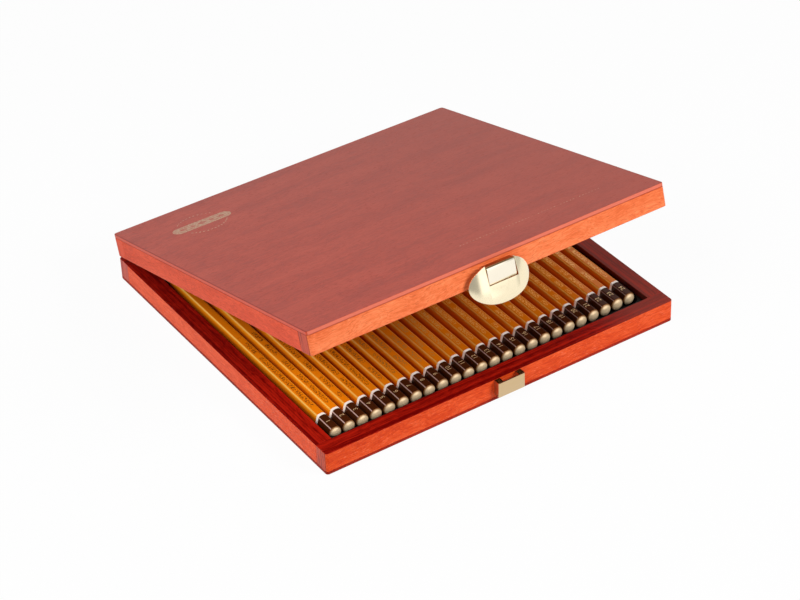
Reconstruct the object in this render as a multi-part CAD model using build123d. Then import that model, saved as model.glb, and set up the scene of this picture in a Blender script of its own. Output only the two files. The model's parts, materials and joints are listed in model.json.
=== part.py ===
from build123d import *
from math import cos, radians, sqrt, tan
import os

# A flat wooden pencil case, in millimetres: X along the front, +Y to the back, +Z up.
# The origin is the centre of the underside. The lid stands a little open, as it is shown.

# The frame of each half: four rails under or over a thin board
case_width = 212.0
case_depth = 205.0
rail_thickness = 9.2
base_height = 12.9
base_board = 1.8
lid_height = 12.75
lid_board = 2.0
corner_radius = 1.6
edge_radius = 0.5

# The hinge line, just behind the back face and midway between the halves
hinge_gap = 0.9
pin_offset = 1.2
rest_angle = 15.1
hinge_y = case_depth / 2 + pin_offset
hinge_z = base_height + hinge_gap / 2
lid_bottom = base_height + hinge_gap
lid_board_bottom = lid_bottom + lid_height - lid_board

# Butt hinges
hinge_spread = 62.0
hinge_width = 24.0
leaf_length = 8.0
leaf_thickness = 0.4
knuckle_radius = 1.1
knuckle_count = 5
knuckle_gap = 0.1
hinge_pin_radius = 0.55
hinge_bore_radius = 0.6
screw_spread = 7.5
screw_inset = 4.9
screw_length = 6.5
screw_radius = 0.6
screw_head_radius = 1.2
screw_slot_width = 0.35
screw_slot_depth = 0.4
screw_point = 1.2
knuckle_clearance = 0.15

# The pencils lie side by side with their dipped ends to the front
pencil_count = 24
pencil_pitch = 7.935
row_x = 0.4
row_end_shift = 2.5
row_end_power = 1.5
pencil_flats = 7.0
pencil_corner_radius = 1.3
pencil_length = 175.0
pencil_front = -88.6
pencil_bottom = 5.72
nose_radius = 4.4
nose_reach = 4.2
shoulder_radius = 0.5
lead_radius = 1.1
lead_start = 5.0
lead_tip_radius = 0.25
point_half_angle = 10.5

# The formed plastic tray
tray_top = 10.0
tray_gap = 0.25
tray_sheet = 0.6
pocket_side_wall = 0.9
pocket_half_length = 89.9
pocket_radius = 5.0
tray_floor = 5.7
floor_radius = 1.0
rim_radius = 0.5
trough_spread = 58.0
trough_width = 11.0
trough_inset = 1.5
trough_corner_radius = 2.0
tray_corner_radius = 1.0

# The catch, measured from the front face outwards
catch_x = 1.1
catch_pin_out = 2.8
catch_pin_z = 21.3
catch_pin_radius = 0.8
catch_clearance = 0.05
catch_rest_angle = 8.0
flap_x = 0.0
flap_half_width = 17.6
flap_half_height = 10.85
flap_centre_z = 14.0
flap_out = 4.9
flap_sheet = 0.7
flap_flat_half = 7.2
flap_arch_angle = 40.0
flap_end_out = 1.7
ear_radius = 1.8
ear_below_pin = 1.7
ear_above_pin = 1.0
ear_root = 0.5
hook_half_width = 3.5
hook_bottom_z = 3.35
hook_top_z = 3.9
hook_reach = 1.0
hook_root = 0.2
bracket_out = 5.2
bracket_sheet = 0.7
bracket_half_width = 8.2
bracket_top_z = 23.1
bracket_front_bottom_z = 14.0
bracket_gap = 0.5
bracket_fold_radius = 1.2
bracket_inner_radius = 0.5
cheek_below_pin = 2.2
wing_half_width = 13.4
wing_height = 4.2
wing_z = 16.8
wing_corner_radius = 1.9
nail_x = 11.0
nail_head_radius = 1.25
nail_head_height = 0.5
nail_head_round = 0.4
nail_radius = 0.55
nail_length = 6.0
nail_point = 1.0
nail_point_radius = 0.1

keeper_half_width = 8.0
keeper_out = 4.1
keeper_sheet = 0.6
keeper_bottom_z = 4.0
keeper_top_z = 12.6
keeper_ear_width = 3.3
keeper_corner_radius = 0.7
prong_length = 5.0
prong_root_radius = 0.6
prong_tip_radius = 0.2

front_y = -case_depth / 2
inner_half_width = case_width / 2 - rail_thickness
inner_half_depth = case_depth / 2 - rail_thickness


def box_between(low, high):
    """A box from its low corner to its high corner."""
    size = [b - a for a, b in zip(low, high)]
    return Pos(*low) * Box(*size, align=(Align.MIN, Align.MIN, Align.MIN))


def cylinder_along_x(radius, x0, x1, y, z):
    """A round bar along X between x0 and x1."""
    middle = Pos((x0 + x1) / 2, y, z)
    return middle * Rot(0, 90, 0) * Cylinder(radius, x1 - x0)


def opened(shape):
    """Turns a piece of the closed lid to the angle at which the lid rests."""
    return shape.rotate(Axis((0, hinge_y, hinge_z), (1, 0, 0)), -rest_angle)


# Rails and boards

def through_rail(side, z0, z1):
    """A rail that runs the full width, at the front (side -1) or the back (side 1)."""
    outer = side * case_depth / 2
    inner = side * inner_half_depth
    rail = box_between((-case_width / 2, min(outer, inner), z0), (case_width / 2, max(outer, inner), z1))
    upright = [e for e in rail.edges().filter_by(Axis.Z) if abs(e.center().Y - outer) < 0.1]
    rail = fillet(upright, corner_radius)
    return rail


def side_rail(side, z0, z1):
    """A rail that stands between the through rails, at the left (side -1) or the right (side 1)."""
    outer = side * case_width / 2
    inner = side * inner_half_width
    return box_between((min(outer, inner), -inner_half_depth, z0), (max(outer, inner), inner_half_depth, z1))


def board(z0, z1, rounded_z):
    """A full-size board with round corners and a soft outer edge on one face."""
    plate = box_between((-case_width / 2, -case_depth / 2, z0), (case_width / 2, case_depth / 2, z1))
    plate = fillet(plate.edges().filter_by(Axis.Z), corner_radius)
    rim = [e for e in plate.edges() if abs(e.center().Z - rounded_z) < 0.01]
    return fillet(rim, edge_radius)


# Hinges

def leaf_screw(x, top_z, direction, slot_depth):
    """A countersunk screw driven down (direction -1) or up (direction 1) through a leaf."""
    head = screw_head_radius - screw_radius
    profile = Polyline(
        (0, 0),
        (screw_head_radius, 0),
        (screw_radius, -head),
        (screw_radius, -screw_length + screw_point),
        (0, -screw_length),
        close=True,
    )
    screw = revolve(Plane.XZ * make_face(profile), Axis.Z)
    if slot_depth > 0:
        screw -= Box(3 * screw_head_radius, screw_slot_width, 2 * slot_depth)
    if direction > 0:
        screw = screw.rotate(Axis.X, 180)
    return Pos(x, hinge_y - screw_inset, top_z) * screw


def leaf_screws(centres, half, slot_depth=0.0):
    """The screws of one half, the base (-1) or the lid (1). Without their slots they cut the holes."""
    top_z = hinge_z + half * (hinge_gap / 2 - leaf_thickness)
    places = [c + s * screw_spread for c in centres for s in (-1, 1)]
    return [leaf_screw(x, top_z, half, slot_depth) for x in places]


def hinge_leaf(centre, half):
    """One leaf with its knuckles: the base leaf has the odd three, the lid leaf the other two."""
    x0 = centre - hinge_width / 2
    outer_z = hinge_z + half * hinge_gap / 2
    inner_z = outer_z - half * leaf_thickness
    low_z = min(outer_z, inner_z)
    high_z = max(outer_z, inner_z)
    plate_end = hinge_y - knuckle_radius - knuckle_clearance
    leaf = box_between((x0, hinge_y - leaf_length, low_z), (x0 + hinge_width, plate_end, high_z))
    step = hinge_width / knuckle_count
    first = 0 if half < 0 else 1
    for number in range(first, knuckle_count, 2):
        a = x0 + number * step + knuckle_gap / 2
        b = a + step - knuckle_gap
        leaf += box_between((a, plate_end - 0.1, low_z), (b, hinge_y - 0.4, high_z))
        leaf += cylinder_along_x(knuckle_radius, a, b, hinge_y, hinge_z)
    leaf -= cylinder_along_x(hinge_bore_radius, x0 - 1, x0 + hinge_width + 1, hinge_y, hinge_z)
    for screw in leaf_screws([centre], half):
        leaf -= screw
    return leaf


def hinge_pin(centre):
    """The pin, a little longer than the knuckles."""
    half = hinge_width / 2 + 0.2
    pin = cylinder_along_x(hinge_pin_radius, centre - half, centre + half, hinge_y, hinge_z)
    return fillet(pin.edges().filter_by(GeomType.CIRCLE), 0.2)


# Pencils

def slide_back(number):
    """The pencils right of the middle lie a little further back, the last one most."""
    past_middle = max(0, number - pencil_count // 2 + 1) / (pencil_count // 2)
    return row_end_shift * past_middle ** row_end_power


def pencil_outline():
    """The hexagon with a flat up and softened corners, on the plane across the pencil."""
    across_corners = pencil_flats / cos(radians(30)) / 2
    hexagon = RegularPolygon(across_corners, 6, major_radius=True)
    return fillet(hexagon.vertices(), pencil_corner_radius)


def pencil_profile(tip_radius, length, slope):
    """Half the lengthwise outline: the domed end in front and the sharpened cone behind."""
    reach = nose_reach
    cone = (reach - tip_radius) / slope
    rise = nose_radius - sqrt(nose_radius ** 2 - reach ** 2)
    half_rise = nose_radius - sqrt(nose_radius ** 2 - reach ** 2 / 4)
    nose = ThreePointArc((0, 0), (reach / 2, half_rise), (reach, rise))
    sides = Polyline((reach, rise), (reach, length - cone), (tip_radius, length), (0, length), (0, 0))
    outline = make_face([nose, sides])
    shoulder = [v for v in outline.vertices() if v.X > reach - 0.01 and v.Y < rise + 0.01]
    return fillet(shoulder, shoulder_radius)


def pencil():
    """A pencil at the origin pointing along +Y: its casing, then its lead."""
    slope = tan(radians(point_half_angle))
    lead_cone = (lead_radius - lead_tip_radius) / slope
    casing_length = pencil_length - lead_cone
    across = Plane((0, 0, 0), x_dir=(1, 0, 0), z_dir=(0, 1, 0))
    lengthwise = Plane((0, 0, 0), x_dir=(1, 0, 0), z_dir=(0, 0, 1))
    bar = extrude(across * pencil_outline(), pencil_length)
    turned = revolve(lengthwise * pencil_profile(lead_radius, casing_length, slope), Axis.Y)
    lead_outline = Polyline(
        (0, lead_start),
        (lead_radius, lead_start),
        (lead_radius, casing_length),
        (lead_tip_radius, pencil_length),
        (0, pencil_length),
        close=True,
    )
    lead = revolve(lengthwise * make_face(lead_outline), Axis.Y)
    casing = (bar & turned) - lead
    return casing, lead


def pencil_place(number):
    """Where the front of a pencil's axis lies."""
    x = row_x + (number - (pencil_count - 1) / 2) * pencil_pitch
    return Pos(x, pencil_front + slide_back(number), pencil_bottom + pencil_flats / 2)


# Tray

def pocket(half_width, half_length, radius, z0, z1):
    """A block with round upright corners, centred on the case."""
    outline = RectangleRounded(2 * half_width, 2 * half_length, radius)
    return extrude(Pos(0, 0, z0) * outline, z1 - z0)


def rounded_at(block, z, radius):
    """The block with the edges that lie at this height rounded."""
    return fillet([e for e in block.edges() if abs(e.center().Z - z) < 0.01], radius)


def pencil_tray():
    """The formed sheet: a hollow rim, a flat floor and two troughs that stand on the board."""
    half_width = inner_half_width - tray_gap
    half_length = inner_half_depth - tray_gap
    pocket_half_width = half_width - pocket_side_wall
    sheet = pocket(half_width, half_length, tray_corner_radius, base_board, tray_top)
    tray = rounded_at(sheet, tray_top, rim_radius)
    well = pocket(pocket_half_width, pocket_half_length, pocket_radius, tray_floor, tray_top + 1)
    tray -= rounded_at(well, tray_floor, floor_radius)
    for side in (-1, 1):
        y = side * trough_spread
        trough_bottom = base_board + tray_sheet
        trough_half = pocket_half_width - trough_inset
        trough = pocket(trough_half, trough_width / 2, trough_corner_radius, trough_bottom, tray_top + 1)
        tray -= Pos(0, y, 0) * rounded_at(trough, trough_bottom, floor_radius)
    return tray - tray_underside(half_width, half_length, pocket_half_width)


def tray_underside(half_width, half_length, pocket_half_width):
    """The hollow under the sheet: below the floor between the troughs, and inside the rim's two ends."""
    inside = half_width - pocket_side_wall
    floor_under = tray_floor - tray_sheet
    trough_half = trough_width / 2 + tray_sheet
    reach = pocket_half_length + tray_sheet
    stops = [-reach, -trough_spread - trough_half, -trough_spread + trough_half]
    stops += [-s for s in reversed(stops)]
    hollow = []
    for a, b in zip(stops[::2], stops[1::2]):
        hollow.append(box_between((-inside, a, base_board - 1), (inside, b, floor_under)))
    for side in (-1, 1):
        a = side * (pocket_half_length + tray_sheet)
        b = side * (half_length - tray_sheet)
        low = (-inside, min(a, b), base_board - 1)
        hollow.append(box_between(low, (inside, max(a, b), tray_top - tray_sheet)))
    return hollow


# Catch: its pieces are drawn on the closed case

def out(distance):
    """The Y of a point this far out from the front face."""
    return front_y - distance


def snapped_to_rest(shape):
    """Swings the flap out from its snapped place to where it hangs with the lid open."""
    return shape.rotate(Axis((0, out(catch_pin_out), catch_pin_z), (1, 0, 0)), -catch_rest_angle)


def catch_pin(radius, half_length):
    low = catch_x - half_length
    return cylinder_along_x(radius, low, catch_x + half_length, out(catch_pin_out), catch_pin_z)


def latch_bracket():
    """A strap folded over at the top, with a cheek at each end and two nailed wings."""
    left = catch_x - bracket_half_width
    right = catch_x + bracket_half_width
    strap = box_between((left, out(bracket_out), bracket_front_bottom_z), (right, out(0), bracket_top_z))
    top = [e for e in strap.edges().filter_by(Axis.X) if e.center().Z > bracket_top_z - 0.1]
    strap = fillet(top, bracket_fold_radius)
    core = box_between(
        (left - 1, out(bracket_out - bracket_sheet), bracket_front_bottom_z - 1),
        (right + 1, out(bracket_sheet), bracket_top_z - bracket_sheet),
    )
    core_top = [e for e in core.edges().filter_by(Axis.X) if e.center().Z > bracket_top_z - 1]
    strap -= fillet(core_top, bracket_inner_radius)
    cheek_bottom = catch_pin_z - cheek_below_pin
    for side in (-1, 1):
        face = catch_x + side * bracket_half_width
        inside = face - side * bracket_sheet
        low = (min(face, inside), out(bracket_out - bracket_sheet), cheek_bottom)
        strap += box_between(low, (max(face, inside), out(bracket_sheet), bracket_top_z - bracket_sheet))
    wing_outline = RectangleRounded(2 * wing_half_width, wing_height, wing_corner_radius)
    wings = extrude(Plane.XZ * Pos(catch_x, wing_z) * wing_outline, bracket_sheet)
    strap += Pos(0, front_y, 0) * wings
    strap -= catch_pin(catch_pin_radius, 10)
    for nail in latch_nails():
        strap -= nail
    return strap


def latch_nail(x):
    """A round-headed nail through a wing."""
    head = Pos(0, 0, nail_head_height / 2) * Cylinder(nail_head_radius, nail_head_height)
    head = fillet(head.edges().sort_by(Axis.Z)[-1], nail_head_round)
    shank = Pos(0, 0, -nail_length / 2) * Cylinder(nail_radius, nail_length)
    point = Pos(0, 0, -nail_length - nail_point / 2) * Cone(nail_point_radius, nail_radius, nail_point)
    nail = head + shank + point
    return Pos(x, out(bracket_sheet), wing_z) * Rot(90, 0, 0) * nail


def latch_nails():
    return [latch_nail(catch_x + side * nail_x) for side in (-1, 1)]


def arched_sheet():
    """The flap's sheet, flat in the middle with both ends bent back towards the wood."""
    rise = flap_out - flap_end_out
    reach = flap_half_width - flap_flat_half
    bend = (reach ** 2 + rise ** 2) / (2 * rise)
    sheet = under_arch(bend, flap_out) - under_arch(bend - flap_sheet, flap_out - flap_sheet)
    return Pos(flap_x, front_y, flap_centre_z - flap_half_height - 1) * sheet


def under_arch(bend, distance):
    """The block between the wood and an arch that stands this far out."""
    crown = Line((0, -distance), (flap_flat_half, -distance))
    shoulder = JernArc(crown @ 1, (1, 0), bend, flap_arch_angle)
    end = shoulder @ 1
    sides = Polyline((end.X, end.Y), (end.X, 3), (0, 3), (0, -distance))
    half = extrude(make_face([crown, shoulder, sides]), 2 * flap_half_height + 2, dir=(0, 0, 1))
    return half + mirror(half, Plane.YZ)


def latch_flap():
    """The oval flap in its snapped place: notched round the bracket, with two ears and a hook inside."""
    oval = extrude(
        Plane.XZ * Pos(flap_x, flap_centre_z) * Ellipse(flap_half_width, flap_half_height),
        flap_out + 1,
    )
    flap = arched_sheet() & (Pos(0, out(flap_end_out - 0.1), 0) * oval)
    notch_half = bracket_half_width + bracket_gap
    flap -= box_between(
        (catch_x - notch_half, out(flap_out + 1), bracket_front_bottom_z - bracket_gap),
        (catch_x + notch_half, out(0), flap_centre_z + flap_half_height),
    )
    for side in (-1, 1):
        flap += flap_ear(catch_x + side * (notch_half + flap_sheet / 2))
    flap += flap_hook()
    return flap - catch_pin(catch_pin_radius + catch_clearance, 12)


def flap_ear(x):
    """The ear that turns on the pin, bent back from the side of the notch."""
    half = flap_sheet / 2
    ear = cylinder_along_x(ear_radius, x - half, x + half, out(catch_pin_out), catch_pin_z)
    ear += box_between(
        (x - half, out(flap_out - ear_root), catch_pin_z - ear_below_pin),
        (x + half, out(catch_pin_out), catch_pin_z + ear_above_pin),
    )
    return ear


def flap_hook():
    """The pressed ledge that snaps in under the keeper's lower edge."""
    reach = flap_out - flap_sheet
    ledge = box_between(
        (flap_x - hook_half_width, out(reach + hook_root), hook_bottom_z),
        (flap_x + hook_half_width, out(reach - hook_reach), hook_top_z),
    )
    tips = [e for e in ledge.edges().filter_by(Axis.X) if e.center().Y > out(reach)]
    return fillet(tips, 0.2)


def keeper():
    """The strip round two square ears, seen from above as one outline, with a prong behind each ear."""
    left = catch_x - keeper_half_width
    right = catch_x + keeper_half_width
    body = box_between((left, out(keeper_out), keeper_bottom_z), (right, out(0), keeper_top_z))
    front = [e for e in body.edges().filter_by(Axis.Z) if e.center().Y < out(keeper_out - 0.1)]
    body = fillet(front, keeper_corner_radius)
    slot_half = keeper_half_width - keeper_ear_width
    body -= keeper_slot(catch_x - slot_half, catch_x + slot_half, 0)
    for side in (-1, 1):
        a = catch_x + side * (slot_half + keeper_sheet)
        b = catch_x + side * (keeper_half_width - keeper_sheet)
        body -= keeper_slot(min(a, b), max(a, b), keeper_sheet)
        body += keeper_prong((a + b) / 2)
    return body


def keeper_slot(x0, x1, back):
    """An upright space behind the front plate, from this far out to the plate."""
    low = (x0, out(keeper_out - keeper_sheet), keeper_bottom_z - 1)
    return box_between(low, (x1, out(back), keeper_top_z + 1))


def keeper_prong(x):
    """A prong driven into the rail."""
    middle_z = (keeper_bottom_z + keeper_top_z) / 2
    prong = Pos(0, 0, prong_length / 2) * Cone(prong_root_radius, prong_tip_radius, prong_length)
    return Pos(x, front_y, middle_z) * Rot(-90, 0, 0) * prong


# Every piece by name, with the lid turned to its rest

def build_pieces():
    pieces = {}
    centres = (-hinge_spread, hinge_spread)
    base_screws = leaf_screws(centres, -1)
    lid_screws = leaf_screws(centres, 1)

    front = through_rail(-1, base_board, base_height)
    for side in (-1, 1):
        ear_middle = keeper_half_width - keeper_ear_width / 2
        front -= keeper_prong(catch_x + side * ear_middle)
    back = through_rail(1, base_board, base_height)
    for screw in base_screws:
        back -= screw
    pieces["base_front_rail"] = front
    pieces["base_back_rail"] = back
    pieces["base_left_rail"] = side_rail(-1, base_board, base_height)
    pieces["base_right_rail"] = side_rail(1, base_board, base_height)
    pieces["base_panel"] = board(0, base_board, 0)
    pieces["pencil_tray"] = pencil_tray()
    pieces["keeper"] = keeper()
    pieces["hinge_base_screws"] = Compound(children=leaf_screws(centres, -1, screw_slot_depth))

    front = through_rail(-1, lid_bottom, lid_board_bottom)
    for nail in latch_nails():
        front -= nail
    back = through_rail(1, lid_bottom, lid_board_bottom)
    for screw in lid_screws:
        back -= screw
    pieces["lid_front_rail"] = opened(front)
    pieces["lid_back_rail"] = opened(back)
    pieces["lid_left_rail"] = opened(side_rail(-1, lid_bottom, lid_board_bottom))
    pieces["lid_right_rail"] = opened(side_rail(1, lid_bottom, lid_board_bottom))
    lid_top = lid_bottom + lid_height
    pieces["lid_panel"] = opened(board(lid_board_bottom, lid_top, lid_top))
    pieces["latch_bracket"] = opened(latch_bracket())
    pieces["latch_nails"] = Compound(children=[opened(nail) for nail in latch_nails()])
    pieces["latch_pin"] = opened(catch_pin(catch_pin_radius, 9.9))
    pieces["latch_flap"] = opened(snapped_to_rest(latch_flap()))
    slotted = leaf_screws(centres, 1, screw_slot_depth)
    pieces["hinge_lid_screws"] = Compound(children=[opened(screw) for screw in slotted])

    for name, centre in zip(("left", "right"), centres):
        pieces[name + "_hinge_base_leaf"] = hinge_leaf(centre, -1)
        pieces[name + "_hinge_lid_leaf"] = opened(hinge_leaf(centre, 1))
        pieces[name + "_hinge_pin"] = hinge_pin(centre)

    casing, lead = pencil()
    for number in range(pencil_count):
        place = pencil_place(number)
        pieces[f"pencil_{number + 1:02d}"] = Compound(children=[place * casing, place * lead])
    return pieces


os.makedirs("parts", exist_ok=True)
for name, piece in build_pieces().items():
    export_step(piece, f"parts/{name}.step")
    print(name, round(piece.volume, 2), piece.bounding_box().min, piece.bounding_box().max)
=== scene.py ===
import json
import math

import bmesh
import bpy
from mathutils import Matrix, Vector


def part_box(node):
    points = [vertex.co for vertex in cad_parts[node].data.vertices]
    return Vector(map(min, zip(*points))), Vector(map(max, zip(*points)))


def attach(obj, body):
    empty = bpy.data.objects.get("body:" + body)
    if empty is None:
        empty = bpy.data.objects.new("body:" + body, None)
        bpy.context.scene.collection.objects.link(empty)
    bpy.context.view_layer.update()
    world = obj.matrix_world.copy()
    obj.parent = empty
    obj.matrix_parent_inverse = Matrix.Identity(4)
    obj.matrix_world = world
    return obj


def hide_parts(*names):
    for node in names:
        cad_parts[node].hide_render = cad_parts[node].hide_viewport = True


# A flat wooden pencil case, standing a little open on a pale floor
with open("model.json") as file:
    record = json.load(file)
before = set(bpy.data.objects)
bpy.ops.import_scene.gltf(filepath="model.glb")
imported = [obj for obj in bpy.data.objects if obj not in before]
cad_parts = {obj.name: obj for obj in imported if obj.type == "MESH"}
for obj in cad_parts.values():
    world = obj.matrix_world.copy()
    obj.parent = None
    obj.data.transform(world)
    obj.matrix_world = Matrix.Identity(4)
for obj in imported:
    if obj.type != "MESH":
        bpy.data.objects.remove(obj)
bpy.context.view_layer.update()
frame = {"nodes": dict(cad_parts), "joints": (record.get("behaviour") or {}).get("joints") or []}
nodes = frame["nodes"]
joints = {j["name"]: j for j in frame["joints"]}
mm = 0.001

# The lid's pieces are made shut, then turned about the hinge to where the lid rests
lidHinge = Vector(joints["lid_hinge"]["pos_m"])
lidAngle = math.radians(joints["lid_hinge"]["range_deg"][0])
hingeIn, hingeOut = Matrix.Translation(lidHinge), Matrix.Translation(-lidHinge)
lidTurn = hingeIn @ Matrix.Rotation(lidAngle, 4, "X") @ hingeOut
atRest = Matrix.Identity(4)
print("frame loaded, lid open", round(-math.degrees(lidAngle), 2), "degrees")


# Shader nodes written as Python expressions

class Wire:
    def __init__(self, graph, socket):
        self.graph = graph
        self.socket = socket

    def maths(self, operation, *others):
        values = dict(enumerate((self, *others)))
        return self.graph.node("ShaderNodeMath", {"operation": operation}, values)

    def reflected(self, operation, other):
        return self.graph.node("ShaderNodeMath", {"operation": operation}, {0: other, 1: self})

    def __add__(self, other):
        return self.maths("ADD", other)

    def __radd__(self, other):
        return self.reflected("ADD", other)

    def __sub__(self, other):
        return self.maths("SUBTRACT", other)

    def __rsub__(self, other):
        return self.reflected("SUBTRACT", other)

    def __mul__(self, other):
        return self.maths("MULTIPLY", other)

    def __rmul__(self, other):
        return self.reflected("MULTIPLY", other)

    def __truediv__(self, other):
        return self.maths("DIVIDE", other)

    def __abs__(self):
        return self.maths("ABSOLUTE")

    # 0 below the edge and 1 above it, with a soft width
    def above(self, edge, width):
        sockets = {"Value": self, "From Min": edge - width / 2, "From Max": edge + width / 2}
        settings = {"interpolation_type": "SMOOTHSTEP"}
        return self.graph.node("ShaderNodeMapRange", settings, sockets)

    def below(self, edge, width):
        return 1 - self.above(edge, width)


class Graph:
    def __init__(self, owner):
        owner.use_nodes = True
        self.tree = owner.node_tree
        self.tree.nodes.clear()

    # any node: its type, its settings first, then its sockets' values or links
    def node(self, kind, settings=None, sockets=None, output=0):
        made = self.tree.nodes.new(kind)
        for key, value in (settings or {}).items():
            if key == "stops":
                self.setStops(made.color_ramp, value)
            else:
                setattr(made, key, value)
        for key, value in (sockets or {}).items():
            target = self.socketOf(made.inputs, key)
            if isinstance(value, Wire):
                self.tree.links.new(value.socket, target)
            else:
                target.default_value = value
        if len(made.outputs):
            return Wire(self, self.socketOf(made.outputs, output))

    # a mix node has hidden sockets of the same name, so a name means one that is in use
    def socketOf(self, sockets, key):
        if isinstance(key, int):
            return [s for s in sockets if s.enabled][key]
        return next(s for s in sockets if s.name == key and s.enabled)

    def setStops(self, ramp, stops):
        while len(ramp.elements) < len(stops):
            ramp.elements.new(0.5)
        for element, (place, colour) in zip(ramp.elements, stops):
            element.position = place
            element.color = (*colour, 1)

    # millimetres from a middle point, in the shut lid's own directions where it is turned
    def place(self, turned=False, scale=(1, 1, 1), middle=(0, 0, 0)):
        point = self.node("ShaderNodeTexCoord", output="Object")
        if turned:
            back = lidTurn.inverted()
            settings = {"vector_type": "POINT"}
            values = {"Location": back.translation, "Rotation": back.to_euler()}
            point = self.node("ShaderNodeMapping", settings, {"Vector": point, **values})
        sizes = [s / mm for s in scale]
        shift = [-m * s for m, s in zip(middle, scale)]
        values = {"Vector": point, "Location": shift, "Scale": sizes}
        return self.node("ShaderNodeMapping", {}, values)

    def axes(self, vector):
        return [self.node("ShaderNodeSeparateXYZ", {}, {0: vector}, output=a) for a in "XYZ"]

    def noise(self, vector, scale, detail, roughness, distortion=0.0):
        sockets = {"Vector": vector, "Scale": scale, "Detail": detail}
        sockets.update({"Roughness": roughness, "Distortion": distortion})
        return self.node("ShaderNodeTexNoise", {}, sockets, output="Fac")

    def ramp(self, factor, *stops):
        return self.node("ShaderNodeValToRGB", {"stops": stops}, {"Fac": factor}, output="Color")

    def mix(self, factor, first, second):
        settings = {"data_type": "RGBA", "clamp_factor": True}
        a, b = [c if isinstance(c, Wire) else (*c, 1) for c in (first, second)]
        return self.node("ShaderNodeMix", settings, {0: factor, "A": a, "B": b})

    def bump(self, height, strength, distance):
        sockets = {"Height": height, "Strength": strength, "Distance": distance}
        return self.node("ShaderNodeBump", {}, sockets)

    def finish(self, sockets):
        shader = self.node("ShaderNodeBsdfPrincipled", {}, sockets)
        self.node("ShaderNodeOutputMaterial", {}, {"Surface": shader})


def newMaterial(name):
    material = bpy.data.materials.new(name)
    return material, Graph(material)


# Case: ten plain boards and rails with eased edges, in millimetres

case = {
    "halfWidth": 106.0,
    "halfDepth": 102.5,
    "rail": 9.2,
    "baseBoard": (0.0, 1.8),  # lower and upper face
    "baseRails": (1.8, 12.9),
    "lidRails": (13.8, 24.55),
    "lidBoard": (24.55, 26.55),
    "corner": 1.6,
    "cornerSegments": 8,
    "boardEdge": 0.3,
    "railEdge": 0.22,
    "edgeSegments": 3,
    "sharp": 50,  # degrees between two faces, past which their edge is eased
    "smooth": 5,  # so the eased edges don't bend the light on the flat faces
}


# Wood: red-brown stain under a satin lacquer, with grain along one axis

wood = {
    # stains: dark, middle, light
    "baseFront": ((0.56, 0.036, 0.001), (0.7, 0.066, 0.006), (0.79, 0.1, 0.02)),
    "baseSide": ((0.67, 0.056, 0.005), (0.8, 0.082, 0.013), (0.88, 0.112, 0.026)),
    # the base board's dark stain is painted shade: the contact shadow along the case's bottom
    # edge
    "baseBoard": ((0.2, 0.008, 0.001), (0.29, 0.013, 0.002), (0.36, 0.022, 0.005)),
    "lidFront": ((0.7, 0.13, 0.036), (0.81, 0.185, 0.062), (0.86, 0.24, 0.09)),
    "lidSide": ((0.59, 0.049, 0.009), (0.71, 0.07, 0.017), (0.79, 0.096, 0.03)),
    "lidBoard": ((0.36, 0.032, 0.012), (0.46, 0.046, 0.018), (0.52, 0.062, 0.028)),
    # end grain: dark, light
    "frontEnd": ((0.15, 0.019, 0.012), (0.52, 0.07, 0.034)),
    "baseBackEnd": ((0.4, 0.062, 0.044), (0.58, 0.1, 0.066)),
    "lidBackEnd": ((0.6, 0.056, 0.016), (0.74, 0.08, 0.026)),
    "pore": (0.26, 0.014, 0.006),
    "baseFleck": (0.86, 0.19, 0.09),
    "rimLight": (0.39, 0.01, 0.003),
    "rimDark": (0.14, 0.0005, 0.0003),
    "rimSheenTone": (0.2, 0.05, 0.034),
    # painted shade deep inside the base's rails
    "innerShade": (0.04, 0.003, 0.002),
    "lidSheenTone": (0.37, 0.064, 0.038),
    "frontEdge": (0.66, 0.145, 0.085),
    "sideEdge": (0.6, 0.064, 0.02),
    # painted sheen, paler towards the right: middle, width, strength
    "rimSheen": (72.0, 36.0, 0.5),
    "lidSheen": (20.0, 240.0, 0.5),
    # layers of noise: scale along and across the grain, detail, roughness
    "figure": (0.011, 0.075, 2.0, 0.45),
    "streaks": (0.04, 0.5, 4.0, 0.6),
    "fibres": (0.16, 1.7, 3.0, 0.65),
    "dashes": (0.34, 2.1, 2.0, 0.55),
    "ripples": (0.14, 1.0, 2.0, 0.55),
    "bandScale": (0.004, 0.9),
    "bendScale": 0.028,
    "bend": (13, 12),  # how far the grain wanders, sideways and in height
    "blotchScale": 0.07,
    # how much each layer gives to a tone, and where its colours lie from dark to light
    "tone": {"figure": 0.24, "streaks": 0.22, "fibres": 0.36, "blotches": 0.18},
    "toneStops": (0.42, 0.5, 0.58),
    "rimTone": {"bands": 0.64, "fibres": 0.1, "ripples": 0.26},
    "rimStops": (0.43, 0.57),
    "endTone": {"rings": 0.8, "specks": 0.2},
    "endStops": (0.4, 0.54),
    # how many growth lines, their strength, the pores' strength
    "railGrain": (15, 0.5, 0.3),
    "boardGrain": (9, 0.15, 0.48),
    "fleckStrength": 0.7,
    # where in the same wood each piece was cut
    "cut": {"front": 80.0, "back": 160.0, "left": 240.0, "right": 320.0, "board": 440.0},
    "height": {"streaks": 0.2, "fibres": 0.35, "pores": -0.6},
    "relief": (0.22, 0.0001),
    "roughness": (0.38, 0.14, 0.12),  # plain, and more on the fibres and in the pores
    "railGloss": 0.14,
    "baseBoardGloss": 0.1,
    "lidBoardGloss": 0.3,
    "coat": 0.03,
    "lidBoardCoat": 0.12,
    "coatRoughness": 0.3,
}
stainOf = {"front": "Front", "back": "Front", "left": "Side", "right": "Side", "board": "Board"}


# The grain wanders a little across the rail, so all its layers read one bent point
def bentPoint(g, point, alongX):
    bend = g.noise(point, wood["bendScale"], 2.0, 0.5) - 0.5
    sideways, upwards = [bend * far for far in wood["bend"]]
    sockets = {"Y" if alongX else "X": sideways, "Z": upwards}
    push = g.node("ShaderNodeCombineXYZ", {}, sockets)
    return g.node("ShaderNodeVectorMath", {"operation": "ADD"}, {0: point, 1: push})


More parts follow.
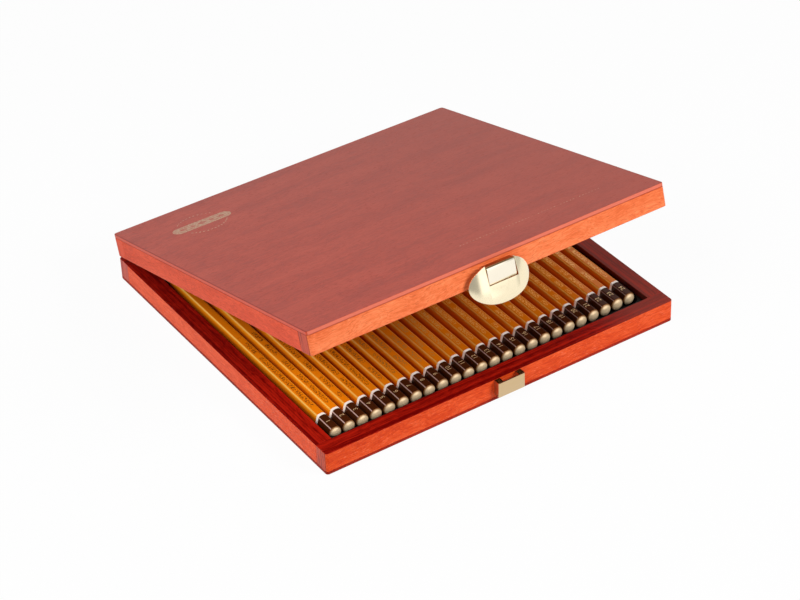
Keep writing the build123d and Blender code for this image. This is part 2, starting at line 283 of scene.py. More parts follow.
# A scale given along and across the grain
def grainScale(alongX, length, width):
    return (length, width, width) if alongX else (width, length, width)


def grainLayer(g, bent, alongX, name):
    length, width, detail, roughness = wood[name]
    sockets = {"Vector": bent, "Scale": grainScale(alongX, length, width)}
    return g.noise(g.node("ShaderNodeMapping", {}, sockets), 1.0, detail, roughness)


def blended(layers, shares):
    return sum(layers[name] * share for name, share in shares.items())


# Stain with growth lines, pores and pale flecks in it; the pores join the layers
def stained(g, half, word, layers):
    streaks, dashes = layers["streaks"], layers["dashes"]
    dark, middle, light = wood[half + stainOf[word]]
    tone = blended(layers, wood["tone"])
    body = g.ramp(tone, *zip(wood["toneStops"], (dark, middle, light)))

    # growth lines are the contours of the broad figure, thin and darker
    rings, lineStrength, poreStrength = wood["boardGrain" if word == "board" else "railGrain"]
    contour = (layers["figure"] * rings).maths("FRACT")
    lines = abs(contour - 0.5).below(0.09, 0.12) * layers["blotches"].above(0.45, 0.2)
    body = g.mix(lines * lineStrength, body, dark)
    layers["pores"] = dashes.above(0.62, 0.1) * streaks.above(0.42, 0.2)
    body = g.mix(layers["pores"] * poreStrength, body, wood["pore"])
    flecks = dashes.below(0.36, 0.08) * streaks.above(0.48, 0.1)
    pale = light if half == "lid" or word == "board" else wood["baseFleck"]
    return g.mix(flecks * wood["fleckStrength"], body, pale)


def woodMaterial(half, word):
    turned, board = half == "lid", word == "board"
    alongX = word not in ("left", "right")
    material, g = newMaterial(f"{half}_{word}_wood")
    start = (0, 0, -wood["cut"][word])
    point = g.place(turned, middle=start)
    x, y, z = g.axes(g.place(turned))
    bent = bentPoint(g, point, alongX)
    names = ["figure", "streaks", "fibres", "dashes"] + ([] if board else ["ripples"])
    layers = {name: grainLayer(g, bent, alongX, name) for name in names}
    layers["blotches"] = g.noise(point, wood["blotchScale"], 3.0, 0.55)
    body = stained(g, half, word, layers)

    if not board:
        scale = grainScale(alongX, *wood["bandScale"])
        layers["bands"] = g.noise(g.place(turned, scale, start), 1.0, 3.0, 0.6, 0.2)
        rim = rimColour(g, x, blended(layers, wood["rimTone"]))
        body = rimmed(g, half, body, rim, abs(y) if alongX else abs(x), alongX, z)
    if word in ("front", "back"):
        face = wood["frontEnd"] if word == "front" else wood[half + "BackEnd"]
        ends = abs(x).above(case["halfWidth"] - 0.14, 0.08)
        body = g.mix(ends, body, endGrain(g, y, z, turned, face))
    if half == "lid":
        body = lidBoardEdges(g, body, x, y, z) if board else gluedRail(g, body, z)

    plain, onFibres, inPores = wood["roughness"]
    g.finish({
        "Base Color": body,
        "Roughness": plain + layers["fibres"] * onFibres + layers["pores"] * inPores,
        "Normal": g.bump(blended(layers, wood["height"]), *wood["relief"]),
        "Specular IOR Level": wood[half + "BoardGloss"] if board else wood["railGloss"],
        "Coat Weight": wood["lidBoardCoat"] if board and half == "lid" else wood["coat"],
        "Coat Roughness": wood["coatRoughness"],
    })
    return material


# The rim that shows when the case is open is darker and redder, in narrow bands, under a painted
# sheen that grows paler towards the right
def rimColour(g, x, tone):
    middle, width, strength = wood["rimSheen"]
    rim = g.ramp(tone, *zip(wood["rimStops"], (wood["rimDark"], wood["rimLight"])))
    return g.mix(x.above(middle, width) * strength, rim, wood["rimSheenTone"])


# It covers a rail's inner face and the face that meets the other half; in the base, painted
# shade darkens the inner faces below the top, down into the case
def rimmed(g, half, body, rim, outward, alongX, z):
    outer = case["halfDepth"] if alongX else case["halfWidth"]
    inner = outward.below(outer - case["rail"] + 0.2, 0.2)
    low, high = case["lidRails"][0], case["baseRails"][1]
    mouth = z.above(high - 0.18, 0.1) if half == "base" else z.below(low + 0.15, 0.1)
    body = g.mix(inner.maths("MAXIMUM", mouth), body, rim)
    if half == "base":
        body = g.mix(inner * z.below(high - 0.4, 0.3) * 0.75, body, wood["innerShade"])
    return body


# End grain on the through rails' two ends: upright growth lines
def endGrain(g, y, z, turned, face):
    wander = g.noise(g.place(turned, (0.1, 0.25, 0.09)), 1.0, 2.0, 0.5)
    sockets = {"X": y * 0.62 + wander * 2.2, "Y": z * 0.03}
    rings = g.noise(g.node("ShaderNodeCombineXYZ", {}, sockets), 1.0, 3.0, 0.6)
    specks = g.noise(g.place(turned, (0.2, 3.2, 2.2)), 1.0, 2.0, 0.6)
    tone = blended({"rings": rings, "specks": specks}, wood["endTone"])
    return g.ramp(tone, *zip(wood["endStops"], face))


# The lid board has a painted sheen, paler towards its right; its edges have tones of their own,
# with painted shade as a dark line along the eased top of the sides; and glue darkens the seam
def lidBoardEdges(g, body, x, y, z):
    seam, top = case["lidBoard"]
    middle, width, strength = wood["lidSheen"]
    body = g.mix(x.above(middle, width) * strength, body, wood["lidSheenTone"])
    upright = z.below(top - 0.05, 0.2)
    side = abs(x).above(case["halfWidth"] - 0.4, 0.1) * upright
    # painted shade: a dark line along the eased top of the side edges, over the light they catch
    edgeShade = abs(x).above(case["halfWidth"] - 0.45, 0.1) * z.above(top - 0.33, 0.1)
    front = abs(y).above(case["halfDepth"] - 0.4, 0.1) * upright
    body = g.mix(side, body, wood["sideEdge"])
    body = g.mix(edgeShade * 0.8, body, wood["pore"])
    body = g.mix(front, body, wood["frontEdge"])
    return g.mix(z.below(seam + 0.4, 0.3) * 0.55, body, wood["pore"])


def gluedRail(g, body, z):
    return g.mix(z.above(case["lidRails"][1] - 0.25, 0.3) * 0.4, body, wood["pore"])


# A block from one corner to the other, with the case's outer corners rounded
def easedBlock(low, high, eased):
    bm = bmesh.new()
    bmesh.ops.create_cube(bm, size=1.0)
    size = [(b - a) * mm for a, b in zip(low, high)]
    middle = [(a + b) / 2 * mm for a, b in zip(low, high)]
    bmesh.ops.scale(bm, vec=size, verts=bm.verts)
    bmesh.ops.translate(bm, vec=middle, verts=bm.verts)
    upright = [e for e in bm.edges if abs(e.verts[0].co.z - e.verts[1].co.z) > 0.5 * size[2]]
    outer = [e for e in upright if abs(e.verts[0].co.y) > (case["halfDepth"] - 1) * mm]
    bevelled(bm, outer, case["corner"] * mm, case["cornerSegments"])
    sharp = [e for e in bm.edges if e.calc_face_angle() > math.radians(case["sharp"])]
    bevelled(bm, sharp, eased * mm, case["edgeSegments"])
    return bm


def bevelled(bm, edges, width, segments):
    if edges:
        bmesh.ops.bevel(bm, geom=edges, offset=width, offset_type="OFFSET", segments=segments,
                        profile=0.5, affect="EDGES", material=-1, clamp_overlap=True)


# A finished mesh becomes a piece on its body, standing for its CAD nodes
def addPiece(bm, name, body, material, turn=atRest, stands=(), smooth=40):
    bm.transform(turn)
    bmesh.ops.recalc_face_normals(bm, faces=bm.faces)
    mesh = bpy.data.meshes.new(name)
    bm.to_mesh(mesh)
    bm.free()
    mesh.materials.append(material)
    piece = bpy.data.objects.new(name, mesh)
    bpy.context.scene.collection.objects.link(piece)
    mesh.shade_smooth()
    mesh.set_sharp_from_angle(angle=math.radians(smooth))
    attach(piece, body)
    if stands:
        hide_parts(*stands)


# The front and back rails run through, and the side rails butt between them
def buildHalf(half, turn):
    width, depth, rail = case["halfWidth"], case["halfDepth"], case["rail"]
    plan = {
        "front": ((-width, -depth), (width, rail - depth)),
        "back": ((-width, depth - rail), (width, depth)),
        "left": ((-width, rail - depth), (rail - width, depth - rail)),
        "right": ((width - rail, rail - depth), (width, depth - rail)),
    }
    low, high = case[half + "Rails"]
    for word, (near, far) in plan.items():
        bm = easedBlock((*near, low), (*far, high), case["railEdge"])
        node = f"{half}_{word}_rail"
        addPiece(bm, node + "_wood", half, woodMaterial(half, word), turn,
                 [node], case["smooth"])
    low, high = case[half + "Board"]
    bm = easedBlock((-width, -depth, low), (width, depth, high), case["boardEdge"])
    addPiece(bm, half + "_panel_wood", half, woodMaterial(half, "board"), turn,
             [half + "_panel"], case["smooth"])


buildHalf("base", atRest)
buildHalf("lid", lidTurn)
print("case built")


# Brass: pale lacquered plate, brushed a little, with duller patches

brass = {
    "flap": {"colour": (0.97, 0.85, 0.6), "roughness": 0.15, "edge": 0.14},
    "bracket": {"colour": (0.99, 0.91, 0.75), "roughness": 0.16, "edge": 0.12},
    # the keeper's darker brass is a painted reflection of the shaded floor just in front of the
    # case
    "keeper": {"colour": (0.66, 0.48, 0.27), "roughness": 0.26, "edge": 0.12},
    "hinge": {"colour": (0.86, 0.74, 0.48), "roughness": 0.26},
    "fastener": {"colour": (0.8, 0.6, 0.28), "roughness": 0.24},
    "tarnish": (0.5, 0.38, 0.17),
    "brushScale": (0.25, 6.0, 6.0),
    "cloudScale": 0.22,
    # painted shade: the top of the strap is darker brass
    "strapTopShade": (0.36, 0.22, 0.09),
    "strapTopShadeFrom": 22.65,  # height on the shut lid
    # painted shade: the keeper's ear tops are darker brass
    "keeperEarShade": (0.2, 0.12, 0.05),
    "keeperEarShadeFrom": (12.5, -106.0),  # height, and how far forward
    "relief": (0.02, 0.00001),
    "flat": 0.6,  # degrees, under which two faces become one
    "sharp": 32,
    "segments": 2,
    "smooth": 35,
}


def brassMaterial(name, kind, turned):
    colour, roughness = brass[kind]["colour"], brass[kind]["roughness"]
    material, g = newMaterial(name)
    point = g.place(turned)
    brushed = g.noise(g.place(turned, brass["brushScale"]), 1.0, 3.0, 0.6)
    cloud = g.noise(point, brass["cloudScale"], 3.0, 0.6)
    tone = g.mix(cloud.above(0.66, 0.3) * 0.12, colour, brass["tarnish"])
    tone = g.mix(brushed.above(0.62, 0.3) * 0.05, tone, brass["tarnish"])
    # painted shade on the strap's top
    if kind == "bracket":
        z = g.axes(point)[2]
        tone = g.mix(z.above(brass["strapTopShadeFrom"], 0.5), tone, brass["strapTopShade"])
    # painted shade on the keeper's ear tops
    if kind == "keeper":
        y, z = g.axes(point)[1:]
        height, forward = brass["keeperEarShadeFrom"]
        ears = z.above(height, 0.1) * y.above(forward, 0.1)
        tone = g.mix(ears, tone, brass["keeperEarShade"])
    g.finish({
        "Base Color": tone,
        "Metallic": 1.0,
        "Roughness": roughness + brushed * 0.03 + cloud * 0.06,
        "Normal": g.bump(brushed, *brass["relief"]),
    })
    return material


# A copy of a CAD node with its loose triangles joined and its edges eased
def easedPlate(node, body, kind, material):
    bm = bmesh.new()
    bm.from_mesh(nodes[node].data)
    bmesh.ops.remove_doubles(bm, verts=bm.verts, dist=0.001 * mm)
    flat = math.radians(brass["flat"])
    bmesh.ops.dissolve_limit(bm, angle_limit=flat, verts=bm.verts, edges=bm.edges)
    walls = [e for e in bm.edges if len(e.link_faces) == 2]
    sharp = [e for e in walls if e.calc_face_angle() > math.radians(brass["sharp"])]
    bevelled(bm, sharp, brass[kind]["edge"] * mm, brass["segments"])
    addPiece(bm, node + "_plate", body, material, stands=[node],
             smooth=brass["smooth"])


def dress(names, material):
    for name in names:
        for filled in nodes[name].material_slots:
            filled.material = material
        if not nodes[name].material_slots:
            nodes[name].data.materials.append(material)


easedPlate("latch_flap", "latch", "flap", brassMaterial("flap_brass", "flap", True))
easedPlate("latch_bracket", "lid", "bracket", brassMaterial("tab_brass", "bracket", True))
easedPlate("keeper", "base", "keeper", brassMaterial("keeper_brass", "keeper", False))
dress(["left_hinge_base_leaf", "right_hinge_base_leaf"],
      brassMaterial("base_hinge_brass", "hinge", False))
dress(["left_hinge_lid_leaf", "right_hinge_lid_leaf"],
      brassMaterial("lid_hinge_brass", "hinge", True))
dress(["hinge_base_screws", "left_hinge_pin", "right_hinge_pin"],
      brassMaterial("base_fasteners", "fastener", False))
dress(["latch_pin", "latch_nails", "hinge_lid_screws"],
      brassMaterial("lid_fasteners", "fastener", True))
print("brass dressed")


# Tray: black formed sheet with a fine moulded grain and a little dust

tray = {
    "black": (0.006, 0.005, 0.004),
    "worn": (0.014, 0.012, 0.01),
    "dust": (0.12, 0.09, 0.07),
    "dustStrength": 0.1,
    "grainScale": 2.4,
    "dustScale": 0.9,
    "wearScale": 0.05,
    "relief": (0.15, 0.00005),
    "gloss": 0.15,
}


def trayMaterial():
    material, g = newMaterial("black_sheet")
    point = g.place()
    grain = g.noise(point, tray["grainScale"], 2.0, 0.5)
    dust = g.noise(point, tray["dustScale"], 4.0, 0.7).above(0.66, 0.1)
    wear = g.noise(point, tray["wearScale"], 3.0, 0.5)
    tone = g.mix(wear, tray["black"], tray["worn"])
    g.finish({
        "Base Color": g.mix(dust * tray["dustStrength"], tone, tray["dust"]),
        "Roughness": 0.34 + wear * 0.2,
        "Normal": g.bump(grain, *tray["relief"]),
        "Specular IOR Level": tray["gloss"],
    })
    return material


dress(["pencil_tray"], trayMaterial())
print("tray dressed")


# Pencils: a lacquered shaft, a white ring, a dark dipped cap and a gold tip; sharpened behind

pencils = {
    "count": 24,
    "length": 175.0,
    "flats": 7.0,
    "dome": 1.9,
    "capEnd": 13.4,
    "ringEnd": 15.0,
    "leadRadius": 1.1,
    "leadTip": 0.25,
    "pointAngle": 10.5,
    "topFrom": 3.3,  # height over the pencil's middle where the upper flat begins
    "cornersFrom": 2.4,
    "ochre": (0.88, 0.3, 0.004),
    "ochreDeep": (0.74, 0.205, 0.002),
    "ochreGrooveShade": (0.48, 0.085, 0.001),
    "ochreTop": (0.8, 0.185, 0.002),
    "cornerGlint": (1.0, 0.6, 0.12),
    "cap": (0.05, 0.0115, 0.0025),
    "capGlint": (0.62, 0.4, 0.34),
    "ring": (0.95, 0.88, 0.8),
    "gold": (1.0, 0.75, 0.46),
    "goldRimDipAndShade": (0.24, 0.09, 0.02),
    "cedar": (0.72, 0.4, 0.2),
    "cedarDark": (0.5, 0.23, 0.1),
    "graphite": (0.05, 0.05, 0.055),
    "relief": (0.12, 0.00006),
    "gloss": 0.12,
    "coat": 0.42,
    "coatRoughness": 0.08,
    # stamped foil: where it starts and ends, half width, one dot, one group
    "marks": (20.0, 92.0, 1.1),
    "dot": (0.46, 0.5),
    "group": 1.9,
    "foil": (1.0, 0.62, 0.18),
    "foilDark": (0.15, 0.045, 0.006),
}


# 0 up to the start, 1 from the end on
def share(value, start, end):
    return min(1.0, max(0.0, (value - start) / (end - start)))


# A touch deeper in places, no two pencils alike; painted shade down the sides, in the grooves
# between pencils; redder on the upper flat, which from the eighth pencil on is darkened by a
# painted shadow of the lid
def lacquer(g, number, z, flow):
    p = pencils
    deeper = flow.above(0.5, 0.5) * 0.8 + (number * 0.618 % 1) * 0.2
    body = g.mix(deeper, p["ochre"], p["ochreDeep"])
    body = g.mix(z.below(1.9, 2.0) * 0.85, body, p["ochreGrooveShade"])
    lidShadow = share(number, 8, 12)
    top = [c * (1 - 0.2 * lidShadow) for c in p["ochreTop"]]
    return g.mix(z.above(p["topFrom"], 0.3) * (0.7 + 0.2 * lidShadow), body, top)


# Stamped foil along the upper flat: small worn dots in groups
def foilMarks(g, number, x, y, z):
    p = pencils
    column, row = [(a / size).maths("FLOOR") for a, size in zip((x, y), p["dot"])]
    spot = g.node("ShaderNodeCombineXYZ", {}, {"X": column, "Y": row})
    settings = {"noise_dimensions": "3D"}
    draw = g.node("ShaderNodeTexWhiteNoise", settings, {"Vector": spot}, output="Value")
    gaps = ((y + number * 0.7) / p["group"]).maths("FRACT").above(0.16, 0.06)
    sockets = {"W": y * 0.13 + number * 3.0, "Scale": 1.0, "Detail": 0.0}
    rows = g.node("ShaderNodeTexNoise", {"noise_dimensions": "1D"}, sockets, output="Fac")
    start, end, halfWidth = p["marks"]
    inside = y.above(start, 0.2) * y.below(end, 0.2)
    inside = inside * z.above(p["topFrom"], 0.05) * abs(x).below(halfWidth, 0.1)
    return draw.above(0.5, 0.2) * gaps * inside * rows.above(0.34, 0.04)


# Painted highlights: the upper corners are painted pale, the left one more than the right, and a
# thin painted glint runs along the cap's left corner, fainter on the later pencils
def cornerWear(number, x, z, edge, cap, flow):
    p = pencils
    corners = z.above(p["cornersFrom"], 0.4)
    cornerGlint = abs(x + 2.1).below(0.28, 0.44) + abs(x - 2.05).below(0.25, 0.3) * 0.15
    cornerGlint = cornerGlint * (1 - cap) * corners * edge.above(p["ringEnd"], 0.2) * 0.85
    worn = 0.85 - 0.65 * number / p["count"]
    return cornerGlint, abs(x + 2.15).below(0.17, 0.2) * corners * cap * (flow * 0.4 + worn)


# The sharpened cone cuts through the lacquer, and the lead ends it
def pointMasks(y, radius, wander):
    p = pencils
    slope = math.tan(math.radians(p["pointAngle"]))
    leadCone = (p["leadRadius"] - p["leadTip"]) / slope
    coneRadius = (p["length"] - leadCone - y) * slope + p["leadRadius"]
    cut = (radius - coneRadius + wander * 0.04).above(-0.05, 0.03)
    return cut * y.above(p["length"] * 0.8, 1.0), y.above(p["length"] - leadCone, 0.1)


def pencilMaterial(number, middle):
    p = pencils
    material, g = newMaterial(f"pencil_{number:02d}_finish")
    x, y, z = g.axes(g.place(middle=middle))
    radius = (x * x + z * z).maths("SQRT")
    wander = g.noise(g.place(scale=(0.5, 0.5, 0.5), middle=middle), 1.0, 2.0, 0.5) - 0.5
    start = (0, number * 37.0, 0)
    flow = g.noise(g.place(scale=(0.5, 0.03, 0.5), middle=start), 1.0, 3.0, 0.55)
    body = lacquer(g, number, z, flow)

    # painted reflection: the foil is painted dark on the first pencils and bright on the last,
    # as it would catch the light along the row
    marks = foilMarks(g, number, x, y, z)
    foilGlint = share(number, 5, 17)
    foil = [a + (b - a) * foilGlint for a, b in zip(p["foilDark"], p["foil"])]
    body = g.mix(marks * (0.85 - 0.15 * foilGlint), body, foil)

    # the dips at the end, each with a slightly wandering edge
    edge = y + wander * 0.5 + x * x * 0.1
    body = g.mix(edge.below(p["ringEnd"], 0.12), body, p["ring"])
    cap = edge.below(p["capEnd"], 0.12)
    body = g.mix(cap, body, p["cap"])

    # painted highlights on the corners and along the cap
    cornerGlint, capGlints = cornerWear(number, x, z, edge, cap, flow)
    body = g.mix(cornerGlint, body, p["cornerGlint"])
    body = g.mix(capGlints, body, p["capGlint"])
    dome = y.below(p["dome"], 0.25)
    # the gold's rim is dark brown, partly the brown dip showing round the gold and partly
    # painted shade
    gold = g.mix(radius.above(3.1, 0.8), p["gold"], p["goldRimDipAndShade"])
    body = g.mix(dome, body, gold)

    cut, lead = pointMasks(y, radius, wander)
    grain = g.noise(g.place(scale=(2.5, 0.12, 2.5), middle=middle), 1.0, 3.0, 0.6)
    bare = g.ramp(grain, (0.35, p["cedarDark"]), (0.65, p["cedar"]))
    body = g.mix(cut, body, bare)
    body = g.mix(lead, body, p["graphite"])

    lacquered = 0.26 + flow * 0.08 - cap * 0.1
    g.finish({
        "Base Color": body,
        "Roughness": lacquered + cut * 0.35 - lead * 0.2 + dome * 0.14,
        "Metallic": dome * 0.5 + marks * 0.15 + lead * 0.3,
        "Specular IOR Level": p["gloss"],
        "Coat Weight": (1 - cut) * (1 - cap * 0.85) * p["coat"],
        "Coat Roughness": p["coatRoughness"],
        "Normal": g.bump(flow * 0.4 + wander * 0.3 + cut * grain, *p["relief"]),
    })
    return material


# Numbers: plain foil figures on the caps, read along the pencil

numbers = {
    "size": 3.5,
    "halfThickness": 0.012,
    "fromFront": 7.6,
    "lift": 0.005,
    "foil": (0.9, 0.66, 0.34),
    "worn": (0.3, 0.16, 0.06),
    "wearScale": 1.7,
    "metallic": 0.4,
}


def numberFoil():
    material, g = newMaterial("number_foil")
    wear = g.noise(g.place(), numbers["wearScale"], 3.0, 0.6)
    tone = g.mix(wear.above(0.55, 0.3) * 0.5, numbers["foil"], numbers["worn"])
    rough = 0.3 + wear * 0.2
    g.finish({"Base Color": tone, "Metallic": numbers["metallic"], "Roughness": rough})
    return material


def numberPiece(number, middle, material):
    figures = bpy.data.curves.new(f"number_{number}", "FONT")
    figures.body = str(number)
    figures.size = numbers["size"]
    figures.align_x = "CENTER"
    figures.align_y = "CENTER"
    figures.extrude = numbers["halfThickness"]
    holder = bpy.data.objects.new(f"number_{number}", figures)
    bpy.context.scene.collection.objects.link(holder)
    bpy.context.view_layer.update()
    shaped = holder.evaluated_get(bpy.context.evaluated_depsgraph_get())
    flat = bpy.data.meshes.new_from_object(shaped)
    bpy.data.objects.remove(holder)
    bm = bmesh.new()
    bm.from_mesh(flat)
    bpy.data.meshes.remove(flat)
    x, y, z = middle
    spot = Vector((x, y + numbers["fromFront"], z + pencils["flats"] / 2 + numbers["lift"])) * mm
    upright = Matrix.Rotation(math.radians(90), 4, "Z") @ Matrix.Scale(mm, 4)
    node = f"pencil_{number:02d}"
    addPiece(bm, node + "_number", node, material,
             Matrix.Translation(spot) @ upright)


foilMaterial = numberFoil()
for number in range(1, pencils["count"] + 1):
    node = f"pencil_{number:02d}"
    low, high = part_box(node)
    middle = ((low.x + high.x) / 2 / mm, low.y / mm, (low.z + high.z) / 2 / mm)
    dress([node], pencilMaterial(number, middle))
    numberPiece(number, middle, foilMaterial)
print("pencils dressed")


# Lid ornament: a plain foil bar between two dotted arcs, and a dotted rule by the front edge

ornament = {
    "centre": (-68.3, 71.4),
    "thickness": 0.03,
    "foil": (0.56, 0.37, 0.23),
    "wearScale": 1.1,
    "band": (17.3, 4.3),  # half length, half height
    # lozenges: place, half length, half height, turn in degrees
    "gaps": ((-11.4, 0, 2.6, 1.5, 0), (-5.7, 0, 2.2, 1.1, 0), (0, 0, 3.0, 1.9, 0),
             (5.7, 0, 2.2, 1.1, 0), (11.4, 0, 2.6, 1.5, 0),
             (-8.5, 2.3, 5.5, 0.3, 0), (8.5, 2.3, 5.5, 0.3, 0),
             (-8.5, -2.3, 5.5, 0.3, 0), (8.5, -2.3, 5.5, 0.3, 0)),
    "gapLift": 0.01,
    # arcs: from, to, how many dots, half length, half height
    "arcs": ((44, 140, 11, 0.7, 0.42), (-140, -30, 13, 0.75, 0.6)),
    "arcRadii": (13.5, 13.2),
    "ruleStart": (-3.0, -79.6),
    "ruleDots": 44,
    "ruleStep": 1.98,
    "ruleDot": (0.6, 0.3),
}


def foilShapes(shapes, centre, lift=0.0):
    bm = bmesh.new()
    for x, y, halfLength, halfHeight, turn in shapes:
        made = bmesh.ops.create_circle(bm, cap_ends=True, segments=4, radius=1.0)
        bmesh.ops.scale(bm, vec=(halfLength, halfHeight, 1), verts=made["verts"])
        turned = Matrix.Rotation(math.radians(turn), 3, "Z")
        bmesh.ops.rotate(bm, cent=(0, 0, 0), matrix=turned, verts=made["verts"])
        spot = (centre[0] + x, centre[1] + y, 0)
        bmesh.ops.translate(bm, vec=spot, verts=made["verts"])
    return pressed(bm, lift)


# A bar with round ends: a circle whose two halves are pulled apart
def foilBand(centre):
    halfLength, halfHeight = ornament["band"]
    bm = bmesh.new()
    made = bmesh.ops.create_circle(bm, cap_ends=True, segments=32, radius=halfHeight)
    for side in (-1, 1):
        half = [v for v in made["verts"] if v.co.x * side > 0.001]
        bmesh.ops.translate(bm, vec=(side * (halfLength - halfHeight), 0, 0), verts=half)
    bmesh.ops.translate(bm, vec=(*centre, 0), verts=bm.verts)
    return pressed(bm, 0.0)


# A flat outline becomes a thin film that sinks a little into the lid
def pressed(bm, lift):
    height = case["lidBoard"][1] + ornament["thickness"] / 2 + lift
    bmesh.ops.translate(bm, vec=(0, 0, height), verts=bm.verts)
    walls = bmesh.ops.extrude_face_region(bm, geom=list(bm.faces))
    lowered = [v for v in walls["geom"] if isinstance(v, bmesh.types.BMVert)]
    bmesh.ops.translate(bm, vec=(0, 0, -ornament["thickness"]), verts=lowered)
    bmesh.ops.scale(bm, vec=(mm, mm, mm), verts=bm.verts)
    return bm


def arcDots():
    dots = []
    for start, stop, count, halfLength, halfHeight in ornament["arcs"]:
        for k in range(count):
            angle = math.radians(start + (stop - start) * k / (count - 1))
            x = ornament["arcRadii"][0] * math.cos(angle)
            y = ornament["arcRadii"][1] * math.sin(angle)
            dots.append((x, y, halfLength, halfHeight, math.degrees(angle) + 90))
    return dots


def ruleDots():
    return [(k * ornament["ruleStep"], 0, *ornament["ruleDot"], 0)
            for k in range(ornament["ruleDots"])]


# Worn foil: strength is how much of the wood shows where it wore, cover how much always does
def lidFoil(name, strength, cover=0.0):
    material, g = newMaterial(name)
    worn = g.noise(g.place(True), ornament["wearScale"], 4.0, 0.65)
    through = worn.above(0.5, 0.25) * strength * (1 - cover) + cover
    colour = g.mix(through, ornament["foil"], wood["lidBoard"][1])
    g.finish({"Base Color": colour, "Metallic": 0.1, "Roughness": 0.35 + worn * 0.2})
    return material


def layFoil(bm, name, material):
    addPiece(bm, name, "lid", material, lidTurn)


centre = ornament["centre"]
layFoil(foilBand(centre), "lid_ornament_band", lidFoil("ornament_foil", 0.6))
layFoil(foilShapes(ornament["gaps"], centre, ornament["gapLift"]), "lid_ornament_gaps",
        lidFoil("ornament_gap", 1.0, 0.62))
layFoil(foilShapes(arcDots(), centre), "lid_ornament_arcs", lidFoil("ornament_arc_foil", 0.75))
layFoil(foilShapes(ruleDots(), ornament["ruleStart"]), "lid_dotted_rule",
        lidFoil("rule_foil", 0.9))
print("ornament laid")


# Stage: pale floor, soft lamps, the photograph's camera

stage = {
    "floorSize": 8.0,
    "floorDrop": 0.02,  # millimetres, so the case's underside doesn't flicker in it
    "floorWhite": 0.78,
    "floorGlow": 0.955,
    "worldLight": 0.08,
    "lampDistance": 1.6,
    "key": (-83.0, 41.0, 1.1, 20.0),  # azimuth, elevation, size, power
    "fill": (33.0, 32.0, 0.6, 21.0),
    # what brass and lacquer mirror: azimuth and level, under a darker ceiling
    "room": ((-180, 0.7), (-150, 0.5), (-115, 0.22), (-85, 0.18), (-19, 0.33), (-9, 1.0),
             (22, 1.0), (31, 0.72), (45, 0.5), (60, 0.44), (130, 0.36), (155, 0.66), (180, 0.7)),
    "roomPeak": 1.4,
    "ceiling": 0.2,
    "ceilingFrom": (0.78, 0.2),  # height on the unit sphere, soft width
    # a pale screen high in front: azimuth, elevation, half angle, level
    "screen": (20.0, 48.0, 28.0, 1.25),
}

cameraSetup = {
    "azimuth": -32.49,
    "elevation": 35.93,
    "roll": -2.39,
    "distance": 1.3554,
    "across": 0.00425,
    "up": -0.00106,
    "focalPixels": 2573.6,
    "framePixels": 800,
    "sensor": 36.0,
}


def makeFloor():
    bm = bmesh.new()
    bmesh.ops.create_grid(bm, x_segments=1, y_segments=1, size=stage["floorSize"] / 2)
    bmesh.ops.translate(bm, vec=(0, 0, -stage["floorDrop"] * mm), verts=bm.verts)
    mesh = bpy.data.meshes.new("floor")
    bm.to_mesh(mesh)
    bm.free()
    floor = bpy.data.objects.new("floor", mesh)
    bpy.context.scene.collection.objects.link(floor)
    mesh.materials.append(floorMaterial())


def floorMaterial():
    material, g = newMaterial("floor_white")
    material.cycles.emission_sampling = "NONE"  # the glow is only for rays that see the floor
    white = stage["floorWhite"]
    matt = g.node("ShaderNodeBsdfDiffuse", {}, {"Color": (white, white, white, 1)})
    glow = g.node("ShaderNodeEmission", {}, {"Color": (1, 1, 1, 1), "Strength": 1.0})
    sockets = {0: whiteRays(g) * stage["floorGlow"], 1: matt, 2: glow}
    blend = g.node("ShaderNodeMixShader", {}, sockets)
    g.node("ShaderNodeOutputMaterial", {}, {"Surface": blend})
    return material


def whiteRays(g):
    seen = g.node("ShaderNodeLightPath", output="Is Camera Ray")
    for name in ("Is Glossy Ray", "Is Transmission Ray"):
        seen = seen.maths("MAXIMUM", g.node("ShaderNodeLightPath", output=name))
    return seen


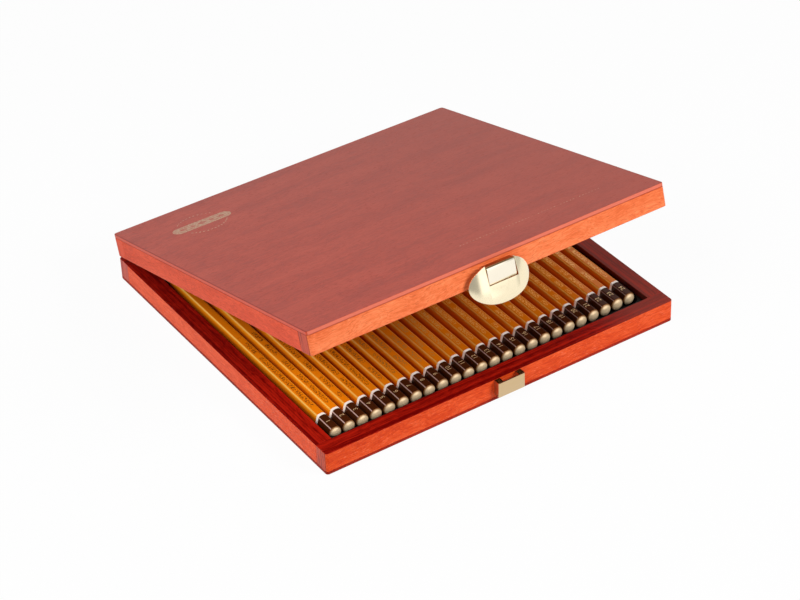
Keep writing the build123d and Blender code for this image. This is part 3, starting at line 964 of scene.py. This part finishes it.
# White behind the object, and for what mirrors it the studio's lighter and darker sides
def lightWorld():
    world = bpy.data.worlds.new("studio")
    bpy.context.scene.world = world
    g = Graph(world)
    x, y, z = g.axes(g.node("ShaderNodeTexCoord", output="Generated"))
    turn = x.maths("ARCTAN2", y * -1) / (2 * math.pi) + 0.5
    sides = [(angle / 360 + 0.5, (level, level, level)) for angle, level in stage["room"]]
    low = z.below(*stage["ceilingFrom"])
    room = g.ramp(turn, *sides) * stage["roomPeak"] * low + (1 - low) * stage["ceiling"]
    azimuth, elevation, halfAngle, level = stage["screen"]
    aim = towards(azimuth, elevation)
    facing = x * aim.x + y * aim.y + z * aim.z
    screen = facing.above(math.cos(math.radians(halfAngle)), 0.1)
    room = room * (1 - screen) + screen * level
    camera = g.node("ShaderNodeLightPath", output="Is Camera Ray")
    seen = whiteRays(g)
    strength = camera + seen * (1 - camera) * room + (1 - seen) * stage["worldLight"]
    sockets = {"Color": (1, 1, 1, 1), "Strength": strength}
    light = g.node("ShaderNodeBackground", {}, sockets)
    g.node("ShaderNodeOutputWorld", {}, {"Surface": light})


def addLamp(name, setup, mirrored):
    azimuth, elevation, size, power = setup
    lamp = bpy.data.lights.new(name, "AREA")
    lamp.shape = "SQUARE"
    lamp.size = size
    lamp.energy = power
    holder = bpy.data.objects.new(name, lamp)
    bpy.context.scene.collection.objects.link(holder)
    holder.location = towards(azimuth, elevation) * stage["lampDistance"]
    holder.rotation_euler = (-holder.location).to_track_quat("-Z", "Y").to_euler()
    holder.visible_camera = False
    holder.visible_glossy = mirrored


# A direction from the object: azimuth 0 is straight in front, positive to the right
def towards(azimuth, elevation):
    a, e = math.radians(azimuth), math.radians(elevation)
    return Vector((math.sin(a) * math.cos(e), -math.cos(a) * math.cos(e), math.sin(e)))


def placeCamera():
    s = cameraSetup
    azimuth, roll = math.radians(s["azimuth"]), math.radians(s["roll"])
    back = towards(s["azimuth"], s["elevation"])
    right = Vector((math.cos(azimuth), math.sin(azimuth), 0))
    up = back.cross(right)
    spot = back * s["distance"] + right * s["across"] + up * s["up"]
    across = right * math.cos(roll) + up * math.sin(roll)
    above = up * math.cos(roll) - right * math.sin(roll)
    camera = bpy.data.cameras.new("camera")
    camera.sensor_width = s["sensor"]
    camera.lens = s["focalPixels"] / s["framePixels"] * s["sensor"]
    holder = bpy.data.objects.new("camera", camera)
    bpy.context.scene.collection.objects.link(holder)
    axes = Matrix((across, above, back)).transposed().to_4x4()
    holder.matrix_world = Matrix.Translation(spot) @ axes
    bpy.context.scene.camera = holder


makeFloor()
lightWorld()
addLamp("key", stage["key"], True)
addLamp("fill", stage["fill"], False)
placeCamera()
bpy.context.scene.view_settings.view_transform = "Standard"
print("stage set")
